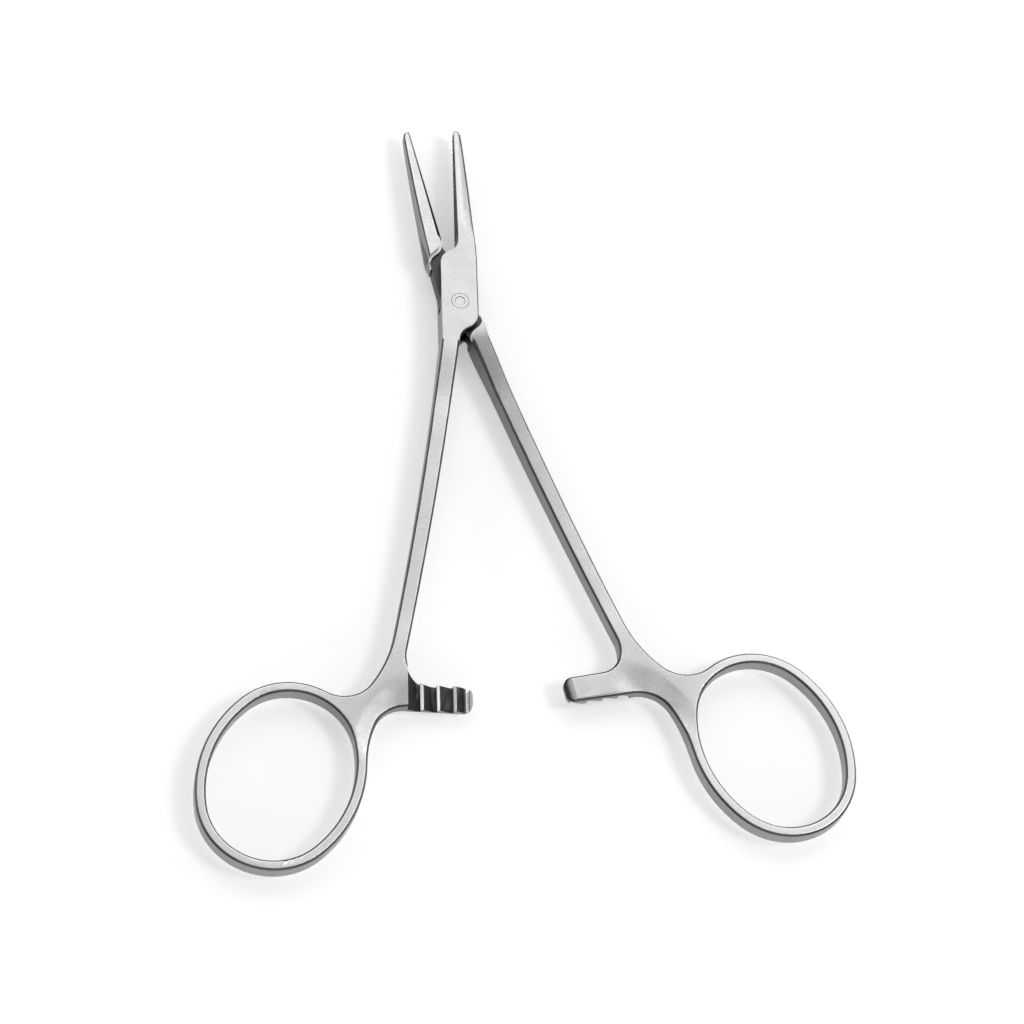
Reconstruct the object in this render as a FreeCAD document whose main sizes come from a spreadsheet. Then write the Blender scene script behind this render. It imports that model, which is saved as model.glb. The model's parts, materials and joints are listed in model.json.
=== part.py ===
import FreeCAD, Part
import math
import os

import Sketcher
from FreeCAD import Placement, Rotation, Vector

# Straight artery forceps with a box lock, finger rings and ratchet arms.
# Lengths are in millimetres and angles in degrees. The pivot axis is +Z, the jaws of the box half
# point along +Y, and z = 0 is the flat underside of the lock, on which the forceps lie.
#
# Both halves start from one and the same forging, drawn in its own frame: the pivot at the origin,
# the closing line along Y, the jaw on the -X side of that line and the finger ring on the +X side.
# The tongue half uses it as drawn, and the box half is the same forging turned over about Y.

SIZES = [
    ("lock_thickness", 4.4, "box lock, over both cheeks"),
    ("lock_half_width", 2.7, "closing line to the flank of the lock"),
    ("crotch_reach", 10.6, "pivot to the front end of the cheeks, on the closing line"),
    ("front_corner_reach", 6.4, "pivot to the start of the front curve of the cheeks, on the flank"),
    ("rear_corner_reach", 2.2, "pivot to the start of the rear curve of the cheeks, on the flank"),
    ("heel_reach", 6.6, "pivot to the rear end of the cheeks, on the closing line"),
    ("slot_crotch_wall", 0.4, "front end wall of the slot to the front end of the cheeks"),
    ("tongue_thickness", 2.0, "tongue that passes through the box"),
    ("tongue_half_width", 2.5, "closing line to the flank of the tongue"),
    ("slide_clearance", 0.05, "tongue to each cheek"),
    ("shoulder_clearance", 0.16, "shoulders and end walls of the lock, when closed"),
    ("shoulder_step", 0.4, "ledge along the shoulders of the tongue half"),
    ("shoulder_step_drop", 0.7, "depth of that ledge below the top"),
    ("slot_front_wall", 4.5, "front end wall of the slot, where it meets the flank"),
    ("slot_rear_wall", 0.8, "rear end wall of the slot, where it meets the flank"),
    ("slot_rear_root", 5.6, "rear end wall of the slot, on the closing line"),
    ("pin_radius", 1.3, "rivet in the lock"),
    ("pin_clearance", 0.03, "rivet to its hole in the tongue, all round"),
    ("pin_mark_radius", 0.75, "shallow punch mark in each end of the rivet"),
    ("pin_mark_depth", 0.08, "depth of the punch mark"),
    ("pin_edge_bevel", 0.07, "bevel of the rivet's ends, seen as a fine circle"),
    ("jaw_root_reach", 7.6, "pivot to where the back of the jaw leaves the flank of the lock"),
    ("jaw_taper_reach", 9.6, "pivot to where the jaws start to get thinner"),
    ("jaw_reach", 30.7, "pivot to the tip of the jaws"),
    ("jaw_tip_width", 1.15, "width of one jaw near its tip"),
    ("jaw_tip_thickness", 1.7, "thickness of the jaws at the tip"),
    ("jaw_tip_flat", 0.4, "blunt end of one jaw"),
    ("jaw_nose_length", 1.05, "rounded end of one jaw"),
    ("jaw_bulge", 0.14, "outward bow of the back of a jaw"),
    ("jaw_round", 0.3, "rounding along the back of a jaw and the flank of the lock behind it"),
    ("serration_pitch", 0.8, "distance from ridge to ridge on the jaw faces"),
    ("serration_depth", 0.26, "depth of the grooves between the ridges"),
    ("serration_margin", 1.0, "front end of the cheeks to the first groove"),
    ("mesh_clearance", 0.03, "closing line to a plain jaw face, and ridge to groove when closed"),
    ("shank_width", 2.6, "width of a shank behind the lock"),
    ("shank_foot_width", 2.15, "width of a shank at its lower end"),
    ("shank_thickness", 3.2, "thickness of a shank behind the lock"),
    ("shoulder_rise", 2.0, "corner of the arm up to where the back of the shank curves to the ring"),
    ("neck_reach", 16.6, "pivot to where a shank has thinned to its own thickness"),
    ("shank_bow", 0.45, "inward bow of a shank"),
    ("shank_splay", 9.9, "closing line to the lower end of a shank"),
    ("web_reach", 52.9, "pivot to where a shank has thinned to the thickness of the ring"),
    ("ring_distance", 80.2, "pivot to the centre of a finger ring"),
    ("ring_splay", 19.05, "closing line to the centre of a finger ring"),
    ("box_ring_lean", -1.5, "long axis of the box half's ring, turned in from the line to the pivot"),
    ("tongue_ring_lean", 8.8, "the same for the ring of the tongue half"),
    ("ring_half_length", 12.65, "half of the opening, along the long axis"),
    ("ring_half_width", 9.7, "half of the opening, across the long axis"),
    ("ring_band", 1.55, "radial width of the ring"),
    ("ring_thickness", 2.6, "thickness of the ring, the web and the ratchet"),
    ("ring_end_radius", 8.7, "radius of the opening at the ends of its long axis"),
    ("web_angle", 72, "where the web runs into the ring, round from the line to the pivot"),
    ("shank_angle", 369, "where the back of the shank runs into the ring, round from that line"),
    ("edge_round", 0.45, "rounding along the shank, the web and the ring"),
    ("ratchet_reach", 62.9, "pivot to the middle of the ratchet arm"),
    ("ratchet_width", 3.8, "width of a ratchet arm"),
    ("ratchet_overlap", 0.4, "reach of an arm past the closing line"),
    ("ratchet_corner", 4.0, "lower end of the shank to the upper edge of the arm"),
    ("ratchet_corner_width", 3.2, "shank to the straight upper edge of the arm"),
    ("ratchet_nose", 1.3, "corner radius at the tip of an arm"),
    ("ratchet_facet", 1.3, "length of the slanted facet on top of the tip"),
    ("ratchet_facet_drop", 0.7, "drop of that facet"),
    ("web_start", 9.0, "closing line to the hollow edge of the web"),
    ("ratchet_root", 8.2, "closing line to the step at the root of an arm"),
    ("ratchet_clearance", 0.04, "tooth tips to the middle plane"),
    ("tooth_pitch", 2.3, "distance from tooth to tooth"),
    ("tooth_depth", 0.62, "depth of the gaps between the teeth"),
    ("tooth_land", 0.45, "flat top of a tooth"),
    ("tooth_floor", 0.46, "flat floor of a gap"),
    ("tooth_nose", 0.4, "end of the arm to the first gap"),
    ("tooth_count", 4, "gaps between the teeth of one arm"),
    ("opening_angle", 12.5, "turn of the tongue half from closed, as the forceps lie"),
]

# How far the handles of a slope's curve reach, as a share of the distance between its ends.
NECK_SLOPE, SHANK_SLOPE = 0.45, 0.4

# The middle of a quarter arc of radius 1, seen from its corner, and how far a cut passes the metal.
QUARTER = 1 - math.sqrt(0.5)
BEYOND = 2.0

# Rim edges lie farther from the middle plane than this; a wall is upright below this tilt.
RIM_LEVEL = 0.5
UPRIGHT = 0.3
FAR = 1000.0

doc = FreeCAD.newDocument("artery_forceps")
sheet = doc.addObject("Spreadsheet::Sheet", "Sizes")
for row, (name, value, meaning) in enumerate(SIZES, start=1):
    sheet.set("A%d" % row, str(value))
    sheet.setAlias("A%d" % row, name)
    sheet.set("B%d" % row, meaning)
doc.recompute()


def size(name):
    """The value of one cell of the sheet."""
    return float(getattr(sheet, name))


def polar(distance, angle):
    """The point at this distance from the pivot, angle degrees out from the closing line."""
    a = math.radians(angle)
    return Vector(distance * math.sin(a), -distance * math.cos(a), 0)


def origin_plane(body, role):
    """One of the body's own origin planes, by its role."""
    return next(f for f in body.Origin.OriginFeatures if f.Role == role)


def sketch_on(body, name, role="XY_Plane"):
    """An empty sketch on an origin plane of its body."""
    sketch = body.newObject("Sketcher::SketchObject", name)
    sketch.AttachmentSupport = [(origin_plane(body, role), "")]
    sketch.MapMode = "FlatFace"
    return sketch


def polygon(sketch, points):
    """Closes straight lines through the points and joins their ends."""
    first = len(sketch.Geometry)
    count = len(points)
    for i in range(count):
        sketch.addGeometry(Part.LineSegment(points[i], points[(i + 1) % count]), False)
    for i in range(count):
        sketch.addConstraint(Sketcher.Constraint("Coincident", first + i, 2, first + (i + 1) % count, 1))


def blend(start, start_way, end, end_way, fullness):
    """A cubic curve that leaves start along start_way and arrives at end along end_way."""
    reach = (end - start).Length * fullness
    curve = Part.BezierCurve()
    leave = Vector(start_way).normalize() * reach
    arrive = Vector(end_way).normalize() * reach
    curve.setPoles([start, start + leave, end - arrive, end])
    return curve.toBSpline()


def ogee(start, end):
    """Two equal arcs from start to end that begin and finish along Y, joined where they are tangent."""
    across = end.x - start.x
    along = end.y - start.y
    radius = (across ** 2 + along ** 2) / (4 * abs(across))
    middle = (start + end) * 0.5
    side = math.copysign(1.0, across)
    half_turn = math.asin(abs(along) / 2 / radius) / 2
    step_x = side * radius * (1 - math.cos(half_turn))
    step_y = math.copysign(radius * math.sin(half_turn), along)
    return [
        Part.Arc(start, Vector(start.x + step_x, start.y + step_y, 0), middle),
        Part.Arc(middle, Vector(end.x - step_x, end.y - step_y, 0), end),
    ]


def arc_from(start, way, end):
    """The arc that leaves start along way and ends at end."""
    chord = end - start
    left = Vector(-chord.y, chord.x, 0)
    turn = math.atan2(way.dot(left), way.dot(chord))
    return Part.Arc(start, (start + end) * 0.5 + left * (math.tan(turn / 2) / 2), end)


def two_arcs(start, start_way, end, end_way):
    """Two arcs with one tangent where they join, from start along start_way to end along end_way."""
    span = end - start
    both = start_way + end_way
    spread = 2 * (1 - start_way.dot(end_way))
    lean = span.dot(both)
    reach = (math.sqrt(lean ** 2 + spread * span.dot(span)) - lean) / spread
    joint = (start + end + (start_way - end_way) * reach) * 0.5
    return [arc_from(start, start_way, joint), arc_from(end, -end_way, joint)]


def bow(start, end, rise):
    """An arc whose middle lies off the straight line, by rise to the left of it."""
    way = (end - start).normalize()
    middle = (start + end) * 0.5 + Vector(-way.y, way.x, 0) * rise
    return Part.Arc(start, middle, end)


def way_along(curve, parameter):
    """The way along a curve at this parameter."""
    return curve.tangent(parameter)[0]


def pad(body, sketch, name, length, both_ways=True):
    """A pad of this length, bound to the sheet."""
    feature = body.newObject("PartDesign::Pad", name)
    feature.Profile = sketch
    feature.Midplane = both_ways
    feature.setExpression("Length", length)
    return feature


def pocket(body, sketch, name, length=None, both_ways=True, reversed_way=False):
    """A pocket of this length, or through everything."""
    feature = body.newObject("PartDesign::Pocket", name)
    feature.Profile = sketch
    feature.Midplane = both_ways
    feature.Reversed = reversed_way
    if length is None:
        feature.Type = 1
    else:
        feature.setExpression("Length", length)
    return feature


def ring_side_radius():
    """Radius of the ring's opening along its sides, from its length, its width and its end arcs."""
    half_width, end_radius = size("ring_half_width"), size("ring_end_radius")
    end_reach = size("ring_half_length") - end_radius
    return (end_reach ** 2 + half_width ** 2 - end_radius ** 2) / (2 * (half_width - end_radius))


def ring_joint():
    """The angle from the long axis at which an end arc of the ring meets a side arc."""
    end_reach = size("ring_half_length") - size("ring_end_radius")
    return math.degrees(math.atan2(ring_side_radius() - size("ring_half_width"), end_reach))


def ring_point(lean, angle, middle, band):
    """A point of the ring's arc that holds the angle middle, out by band, and the way round there."""
    turn = math.radians(size("ring_splay") - lean)
    long_way = Vector(-math.sin(turn), math.cos(turn), 0)
    short_way = Vector(math.cos(turn), math.sin(turn), 0)
    centre = polar(size("ring_distance"), size("ring_splay"))
    to_end = math.cos(math.radians(middle))
    if abs(to_end) > math.cos(math.radians(ring_joint())):
        radius = size("ring_end_radius")
        centre += long_way * math.copysign(size("ring_half_length") - radius, to_end)
    else:
        radius = ring_side_radius()
        centre += short_way * math.copysign(radius - size("ring_half_width"), math.sin(math.radians(middle)))
    a = math.radians(angle)
    out = long_way * math.cos(a) - short_way * math.sin(a)
    return centre + out * (radius + band), -long_way * math.sin(a) - short_way * math.cos(a)


def ring_arcs(lean, start, end, band):
    """Arcs round the ring from one angle to another, out by band from its opening."""
    joint = ring_joint()
    turns = [joint, 180 - joint, 180 + joint, 360 - joint, 360 + joint]
    stops = [start] + [turn for turn in turns if start < turn < end] + [end]
    arcs = []
    for low, high in zip(stops, stops[1:]):
        middle = (low + high) / 2
        points = [ring_point(lean, angle, middle, band)[0] for angle in (low, middle, high)]
        arcs.append(Part.Arc(*points))
    return arcs


def draw_handle(sketch, lean):
    """Outline of the shank, the ratchet arm, the web and the ring, whose long axis leans in by lean."""
    half = size("shank_width") / 2
    arm_top = -(size("ratchet_reach") - size("ratchet_width") / 2)
    arm_bottom = -(size("ratchet_reach") + size("ratchet_width") / 2)
    arm_tip = -size("ratchet_overlap")
    nose = size("ratchet_nose")

    top = Vector(size("lock_half_width") - half, -size("slot_rear_root"), 0)
    bottom = polar(-arm_top - size("ratchet_corner"), size("shank_splay"))
    down = (bottom - top).normalize()
    outward = Vector(-down.y, down.x, 0)
    foot = size("shank_foot_width") / 2
    inner_top, inner_end = top - outward * half, bottom - outward * foot
    outer_top, outer_end = top + outward * half, bottom + outward * foot - down * size("shoulder_rise")
    inner = bow(inner_top, inner_end, -size("shank_bow"))
    outer = bow(outer_end, outer_top, size("shank_bow"))

    across = Vector(1, 0, 0)
    arm_start = Vector(inner_end.x - size("ratchet_corner_width"), arm_top, 0)
    nose_top = Vector(arm_tip + nose, arm_top, 0)
    nose_mid_top = Vector(arm_tip + nose * QUARTER, arm_top - nose * QUARTER, 0)
    nose_front_top = Vector(arm_tip, arm_top - nose, 0)
    nose_front_bottom = Vector(arm_tip, arm_bottom + nose, 0)
    nose_mid_bottom = Vector(arm_tip + nose * QUARTER, arm_bottom + nose * QUARTER, 0)
    nose_bottom = Vector(arm_tip + nose, arm_bottom, 0)
    web_start = Vector(size("web_start"), arm_bottom, 0)

    band = size("ring_band")
    web_angle, shank_angle = size("web_angle") + lean, size("shank_angle") + lean
    ring_in, ring_in_way = ring_point(lean, web_angle, web_angle, band)
    ring_out, ring_out_way = ring_point(lean, shank_angle, shank_angle, band)

    edges = [inner]
    edges += two_arcs(inner_end, way_along(inner, inner.LastParameter), arm_start, -across)
    edges += [
        Part.LineSegment(arm_start, nose_top),
        Part.Arc(nose_top, nose_mid_top, nose_front_top),
        Part.LineSegment(nose_front_top, nose_front_bottom),
        Part.Arc(nose_front_bottom, nose_mid_bottom, nose_bottom),
        Part.LineSegment(nose_bottom, web_start),
    ]
    edges += two_arcs(web_start, across, ring_in, ring_in_way)
    edges += ring_arcs(lean, web_angle, shank_angle, band)
    edges += two_arcs(ring_out, ring_out_way, outer_end, way_along(outer, outer.FirstParameter))
    edges += [outer, Part.LineSegment(outer_top, inner_top)]
    sketch.addGeometry(edges, False)
    sketch.addGeometry(ring_arcs(lean, -ring_joint(), 360 - ring_joint(), 0), False)


def draw_jaw_and_lock(sketch):
    """Outline of one jaw and of the lock behind it."""
    side = size("lock_half_width")
    reach = size("jaw_reach")
    plain = -size("mesh_clearance")
    ridge = size("serration_depth") / 2 - size("mesh_clearance")
    first = serration_start()
    last = first + serration_count() * size("serration_pitch")
    tip_width = size("jaw_tip_width")
    jaw_root = Vector(-side, size("jaw_root_reach"), 0)
    jaw_back = Vector(-tip_width, reach - size("jaw_nose_length"), 0)
    crotch = Vector(plain, size("crotch_reach"), 0)
    front = Vector(side, size("front_corner_reach"), 0)
    rear_out = Vector(side, -size("heel_reach"), 0)
    heel = Vector(side - size("shank_width"), -size("heel_reach"), 0)
    rear = Vector(-side, -size("rear_corner_reach"), 0)
    tip_in = Vector(plain, reach, 0)
    tip_out = Vector(plain - size("jaw_tip_flat"), reach, 0)
    back = bow(jaw_back, jaw_root, -size("jaw_bulge"))
    edges = ogee(front, crotch)
    edges += [
        Part.LineSegment(crotch, Vector(plain, first, 0)),
        Part.LineSegment(Vector(plain, first, 0), Vector(ridge, first, 0)),
        Part.LineSegment(Vector(ridge, first, 0), Vector(ridge, last, 0)),
        Part.LineSegment(Vector(ridge, last, 0), Vector(plain, last, 0)),
        Part.LineSegment(Vector(plain, last, 0), tip_in),
        Part.LineSegment(tip_in, tip_out),
        *two_arcs(tip_out, Vector(-1, 0, 0), jaw_back, way_along(back, back.FirstParameter)),
        back,
        Part.LineSegment(jaw_root, rear),
    ]
    edges += ogee(rear, heel)
    edges += [
        Part.LineSegment(heel, rear_out),
        Part.LineSegment(rear_out, front),
    ]
    sketch.addGeometry(edges, False)


def serration_start():
    """Pivot to the first groove of the jaw faces."""
    return size("crotch_reach") + size("serration_margin")


def serration_count():
    """Grooves that fit between the first one and the tip."""
    room = size("jaw_reach") - serration_start() - size("serration_depth")
    return int(room / size("serration_pitch"))


def draw_side_trim(sketch):
    """What is taken off above the handle, in side view: from the lock down to the ring."""
    high = size("lock_thickness") / 2
    ring = size("ring_thickness") / 2
    above = high + BEYOND
    heel = Vector(-size("heel_reach"), high, 0)
    neck = Vector(-size("neck_reach"), size("shank_thickness") / 2, 0)
    web = Vector(-size("web_reach"), ring, 0)
    far = -(size("ring_distance") + size("ring_half_length") + size("ring_band") + BEYOND)
    back = Vector(-1, 0, 0)
    sketch.addGeometry([
        blend(heel, back, neck, back, NECK_SLOPE),
        blend(neck, back, web, back, SHANK_SLOPE),
        Part.LineSegment(web, Vector(far, ring, 0)),
        Part.LineSegment(Vector(far, ring, 0), Vector(far, above, 0)),
        Part.LineSegment(Vector(far, above, 0), Vector(heel.x, above, 0)),
        Part.LineSegment(Vector(heel.x, above, 0), heel),
    ], False)


def draw_jaw_trim(sketch):
    """What is taken off above the jaw, in side view: a taper from the lock to the tip."""
    high = size("lock_thickness") / 2
    start = size("jaw_taper_reach")
    end = size("jaw_reach")
    slope = (high - size("jaw_tip_thickness") / 2) / (end - start)
    end += BEYOND
    low = high - slope * (end - start)
    above = high + BEYOND
    polygon(sketch, [
        Vector(start, high, 0),
        Vector(end, low, 0),
        Vector(end, above, 0),
        Vector(start, above, 0),
    ])


def mirror_below(body, feature, name):
    """Repeats a feature on the other side of the middle plane."""
    mirrored = body.newObject("PartDesign::Mirrored", name)
    mirrored.Originals = [feature]
    mirrored.MirrorPlane = (origin_plane(body, "XY_Plane"), [""])
    body.Tip = mirrored
    return mirrored


def rim_edges(shape, y_from, y_to, x_from, x_to):
    """Names of the edges between an outer face and an upright wall, whose middle lies in the window."""
    names = []
    for number, edge in enumerate(shape.Edges, start=1):
        box = edge.BoundBox
        outer = box.ZMin > RIM_LEVEL or box.ZMax < -RIM_LEVEL
        middle = edge.valueAt((edge.FirstParameter + edge.LastParameter) / 2)
        if not outer or not y_from <= middle.y <= y_to or not x_from <= middle.x <= x_to:
            continue
        upright = 0
        for face in shape.ancestorsOfType(edge, Part.Face):
            u, v = face.Surface.parameter(middle)
            upright += abs(face.normalAt(u, v).z) < UPRIGHT
        if upright == 1:
            names.append("Edge%d" % number)
    return names


def round_edges(body, name, radius, window):
    """Rounds the rim edges in a window of the body's last shape."""
    doc.recompute()
    last = body.Tip
    names = rim_edges(last.Shape, *window)
    rounds = body.newObject("PartDesign::Fillet", name)
    rounds.Base = (last, names)
    rounds.setExpression("Radius", radius)
    doc.recompute()


def repeat(body, feature, name, axis, pitch, count):
    """Repeats a feature along an axis of its body."""
    pattern = body.newObject("PartDesign::LinearPattern", name)
    pattern.Originals = [feature]
    pattern.Direction = (origin_plane(body, axis), [""])
    pattern.Occurrences = count
    pattern.setExpression("Length", "%s * %d" % (pitch, count - 1))
    body.Tip = pattern
    return pattern


def across_arm(body, name):
    """A sketch in the plane across the shanks, in the middle of the ratchet arm."""
    sketch = sketch_on(body, name, "XZ_Plane")
    sketch.setExpression("AttachmentOffset.Base.z", "Sizes.ratchet_reach")
    return sketch


def cut_ratchet(body, name):
    """Thins the arm to its upper half, slants its tip and cuts the gaps between the teeth below."""
    level = size("ratchet_clearance")
    low = -size("lock_thickness")
    high = size("ring_thickness") / 2
    root, tip = size("ratchet_root"), -size("ratchet_overlap")
    facet_slope = size("ratchet_facet_drop") / size("ratchet_facet")
    thin = across_arm(body, name + "_arm_section")
    polygon(thin, [
        Vector(tip - BEYOND, level, 0),
        Vector(tip - BEYOND, low, 0),
        Vector(root, low, 0),
        Vector(root, level, 0),
    ])
    polygon(thin, [
        Vector(tip + size("ratchet_facet"), high, 0),
        Vector(tip - BEYOND, high - facet_slope * (size("ratchet_facet") + BEYOND), 0),
        Vector(tip - BEYOND, high + BEYOND, 0),
        Vector(tip + size("ratchet_facet"), high + BEYOND, 0),
    ])
    wide = "Sizes.ratchet_width + 2 * Sizes.lock_thickness"
    pocket(body, thin, name + "_arm_thinning", wide)
    gap = across_arm(body, name + "_tooth_gap")
    start = tip + size("tooth_nose")
    floor = start + size("tooth_floor")
    end = start + size("tooth_pitch") - size("tooth_land")
    deep = level + size("tooth_depth")
    polygon(gap, [
        Vector(start, low, 0),
        Vector(start, deep, 0),
        Vector(floor, deep, 0),
        Vector(end, level, 0),
        Vector(end, low, 0),
    ])
    first = pocket(body, gap, name + "_first_gap", wide)
    repeat(body, first, name + "_gaps", "X_Axis", "Sizes.tooth_pitch", int(size("tooth_count")))


def cut_serrations(body, name, shift):
    """Cuts the grooves across the jaw face, moved along it by a share of their pitch."""
    pitch, depth = size("serration_pitch"), size("serration_depth")
    face = depth / 2 - size("mesh_clearance")
    proud = face + size("mesh_clearance")
    slope = (pitch / 2) / depth
    spread = (proud - face) * slope
    start = serration_start() + shift * pitch
    groove = sketch_on(body, name + "_groove")
    polygon(groove, [
        Vector(proud, start - spread, 0),
        Vector(face - depth, start + pitch / 2, 0),
        Vector(proud, start + pitch + spread, 0),
    ])
    first = pocket(body, groove, name + "_first_groove")
    count = serration_count() + (1 if shift < 0 else 0)
    repeat(body, first, name + "_grooves", "Y_Axis", "Sizes.serration_pitch", count)


def round_hole(body, name, radius):
    """A hole for the rivet, right through the lock."""
    circle = sketch_on(body, name + "_pin_hole_circle")
    circle.addGeometry(Part.Circle(Vector(), Vector(0, 0, 1), size("pin_radius")), False)
    circle.addConstraint(Sketcher.Constraint("Coincident", 0, 3, -1, 1))
    circle.addConstraint(Sketcher.Constraint("Radius", 0, size("pin_radius")))
    circle.setExpression("Constraints[1]", radius)
    pocket(body, circle, name + "_pin_hole")


def forge_half(name, lean, serration_shift):
    """One half as forged: handle with rounded edges, lock, jaw, ratchet teeth and serrations."""
    body = doc.addObject("PartDesign::Body", name)
    body.Label = name

    handle = sketch_on(body, name + "_handle_outline")
    draw_handle(handle, size(lean))
    pad(body, handle, name + "_handle", "Sizes.lock_thickness")
    side = sketch_on(body, name + "_handle_side", "YZ_Plane")
    draw_side_trim(side)
    trim = pocket(body, side, name + "_handle_trim")
    mirror_below(body, trim, name + "_handle_trim_below")
    handle_window = (-FAR, -size("heel_reach"), -FAR, FAR)
    round_edges(body, name + "_handle_rounds", "Sizes.edge_round", handle_window)

    front = sketch_on(body, name + "_jaw_outline")
    draw_jaw_and_lock(front)
    pad(body, front, name + "_jaw", "Sizes.lock_thickness")
    taper = sketch_on(body, name + "_jaw_side", "YZ_Plane")
    draw_jaw_trim(taper)
    trim = pocket(body, taper, name + "_jaw_trim")
    mirror_below(body, trim, name + "_jaw_trim_below")
    back_window = (-size("rear_corner_reach"), FAR, -FAR, -size("jaw_tip_flat"))
    round_edges(body, name + "_jaw_back", "Sizes.jaw_round", back_window)
    cut_ratchet(body, name)
    cut_serrations(body, name, serration_shift)
    return body


def cut_slot(body, name):
    """The slot between the cheeks, open on both flanks, with a slanted wall at each end."""
    side = size("lock_half_width")
    plain = -size("mesh_clearance")
    front_root = size("crotch_reach") - size("slot_crotch_wall")
    front_slope = (front_root - size("slot_front_wall")) / side
    rear_root = -size("slot_rear_root")
    rear_slope = (-size("slot_rear_wall") - rear_root) / side
    wide = side + BEYOND
    slot = sketch_on(body, name + "_slot_outline")
    polygon(slot, [
        Vector(plain, front_root, 0),
        Vector(-wide, front_root - front_slope * wide, 0),
        Vector(-wide, -size("heel_reach") - BEYOND, 0),
        Vector(plain, -size("heel_reach") - BEYOND, 0),
        Vector(plain, rear_root + rear_slope * plain, 0),
        Vector(wide, rear_root + rear_slope * wide, 0),
        Vector(wide, size("crotch_reach") + BEYOND, 0),
        Vector(plain, size("crotch_reach") + BEYOND, 0),
    ])
    pocket(body, slot, name + "_slot", "Sizes.tongue_thickness + 2 * Sizes.slide_clearance")
    round_hole(body, name, "Sizes.pin_radius")


def recess_corners(gap):
    """Ends of the cheeks' two curved edges, moved out by a gap: front corner, crotch, rear corner, heel."""
    side = size("lock_half_width")
    away = Vector(-gap, gap, 0) * math.sqrt(0.5)
    return (
        Vector(-side, size("front_corner_reach"), 0) + away,
        Vector(size("mesh_clearance"), size("crotch_reach"), 0) + away,
        Vector(side, -size("rear_corner_reach"), 0) - away,
        Vector(size("shank_width") - side, -size("heel_reach"), 0) - away,
    )


def cut_recess(body, name, gap, level):
    """Makes room for the cheeks above a level and below its mirror image, a gap wider than they are."""
    wide = size("lock_half_width") + BEYOND
    front_corner, crotch, rear_corner, heel = recess_corners(gap)
    recess = sketch_on(body, name + "_outline")
    recess.setExpression("AttachmentOffset.Base.z", level)
    right = [crotch, Vector(wide, crotch.y, 0), Vector(wide, rear_corner.y, 0), rear_corner]
    left = [heel, Vector(-wide, heel.y, 0), Vector(-wide, front_corner.y, 0), front_corner]
    edges = ogee(front_corner, crotch)
    edges += [Part.LineSegment(right[i], right[i + 1]) for i in range(3)]
    edges += ogee(rear_corner, heel)
    edges += [Part.LineSegment(left[i], left[i + 1]) for i in range(3)]
    recess.addGeometry(edges, False)
    above = pocket(body, recess, name, None, False, True)
    mirror_below(body, above, name + "_below")


def cut_tongue(body, name):
    """Shoulders that clear the cheeks, and the tongue's own outline inside the slot."""
    side = size("lock_half_width")
    gap = size("shoulder_clearance")
    plain = -size("mesh_clearance")
    width = size("tongue_half_width")
    wide = side + BEYOND
    cut_recess(body, name + "_recess", gap, "Sizes.tongue_thickness / 2")
    ledge = "Sizes.lock_thickness / 2 - Sizes.shoulder_step_drop"
    cut_recess(body, name + "_ledge", gap + size("shoulder_step"), ledge)
    front_corner, crotch, rear_corner, heel = recess_corners(gap)

    front_root = size("crotch_reach") - size("slot_crotch_wall")
    front_slope = (front_root - size("slot_front_wall")) / side
    front_drop = gap * math.hypot(1, front_slope)
    rear_root = -size("slot_rear_root")
    rear_slope = (-size("slot_rear_wall") - rear_root) / side
    rear_rise = gap * math.hypot(1, rear_slope)
    inner = side - size("shank_width")
    flanks = sketch_on(body, name + "_tongue_outline")
    polygon(flanks, [
        Vector(-wide, front_corner.y, 0),
        Vector(-width, front_corner.y, 0),
        Vector(-width, rear_root + rear_rise + rear_slope * width, 0),
        Vector(inner, rear_root + rear_rise - rear_slope * inner, 0),
        Vector(inner, heel.y - BEYOND, 0),
        Vector(-wide, heel.y - BEYOND, 0),
    ])
    polygon(flanks, [
        Vector(plain, crotch.y + BEYOND, 0),
        Vector(plain, front_root - front_drop + front_slope * plain, 0),
        Vector(width, front_root - front_drop - front_slope * width, 0),
        Vector(width, rear_corner.y, 0),
        Vector(wide, rear_corner.y, 0),
        Vector(wide, crotch.y + BEYOND, 0),
    ])
    pocket(body, flanks, name + "_tongue_flanks")
    round_hole(body, name, "Sizes.pin_radius + Sizes.pin_clearance")


def turn_pin(name):
    """The rivet: a turned pin with bevelled ends, flush with the cheeks, and a punch mark in each."""
    body = doc.addObject("PartDesign::Body", name)
    body.Label = name
    half = size("lock_thickness") / 2
    radius, bevel = size("pin_radius"), size("pin_edge_bevel")
    mark, depth = size("pin_mark_radius"), size("pin_mark_depth")
    profile = sketch_on(body, name + "_profile", "XZ_Plane")
    polygon(profile, [
        Vector(0, half - depth, 0),
        Vector(mark - depth, half - depth, 0),
        Vector(mark, half, 0),
        Vector(radius - bevel, half, 0),
        Vector(radius, half - bevel, 0),
        Vector(radius, bevel - half, 0),
        Vector(radius - bevel, -half, 0),
        Vector(mark, -half, 0),
        Vector(mark - depth, depth - half, 0),
        Vector(0, depth - half, 0),
    ])
    turned = body.newObject("PartDesign::Revolution", name + "_turned")
    turned.Profile = profile
    turned.ReferenceAxis = (profile, ["V_Axis"])
    turned.Angle = 360
    return body


box_half = forge_half("box_half", "box_ring_lean", -0.5)
cut_slot(box_half, "box_half")
tongue_half = forge_half("tongue_half", "tongue_ring_lean", 0.0)
cut_tongue(tongue_half, "tongue_half")
pivot_pin = turn_pin("pivot_pin")
doc.recompute()

box_half.Placement = Placement(Vector(), Rotation(Vector(0, 1, 0), 180))
tongue_half.Placement = Placement(Vector(), Rotation(Vector(0, 0, 1), size("opening_angle")))
for body in (box_half, tongue_half, pivot_pin):
    body.setExpression("Placement.Base.z", "Sizes.lock_thickness / 2")
doc.recompute()

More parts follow.
